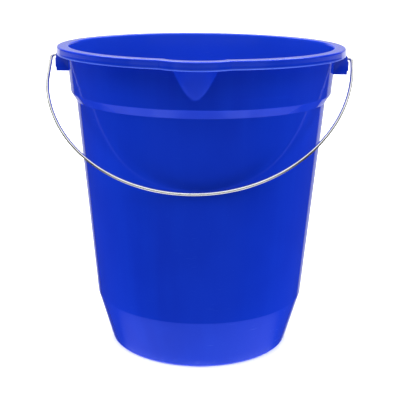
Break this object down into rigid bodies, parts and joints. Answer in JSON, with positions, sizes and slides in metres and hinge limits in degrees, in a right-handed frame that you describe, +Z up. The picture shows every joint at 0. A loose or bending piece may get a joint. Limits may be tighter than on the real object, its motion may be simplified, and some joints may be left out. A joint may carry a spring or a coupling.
{
  "type": "feed bucket",
  "caption": "Tapered round stable bucket with a rolled rim, a small pouring lip and a swinging wire carrying bail held in moulded ears.",
  "frame": {"origin": "centre of the flat underside, on the surface that the bucket stands on", "axes": "+Z up out of the mouth, -Y towards the pouring lip, which is the front, and X along the line that the bail turns about"},
  "size_m": [0.3199, 0.3117, 0.323],
  "materials": {
    "blue_plastic": "smooth moulded polyethylene, semi-gloss",
    "plated_wire": "bright zinc-plated drawn steel wire"
  },
  "bodies": {
    "shell": {"bucket_shell": "blue_plastic"},
    "bail": {"bail_handle": "plated_wire"}
  },
  "joints": [
    {"name": "bail_swing", "type": "hinge", "parent": "shell", "child": "bail", "pos_m": [0, 0, 0.3104], "axis": [-1, 0, 0], "range_deg": [0, 264.8]}
  ]
}
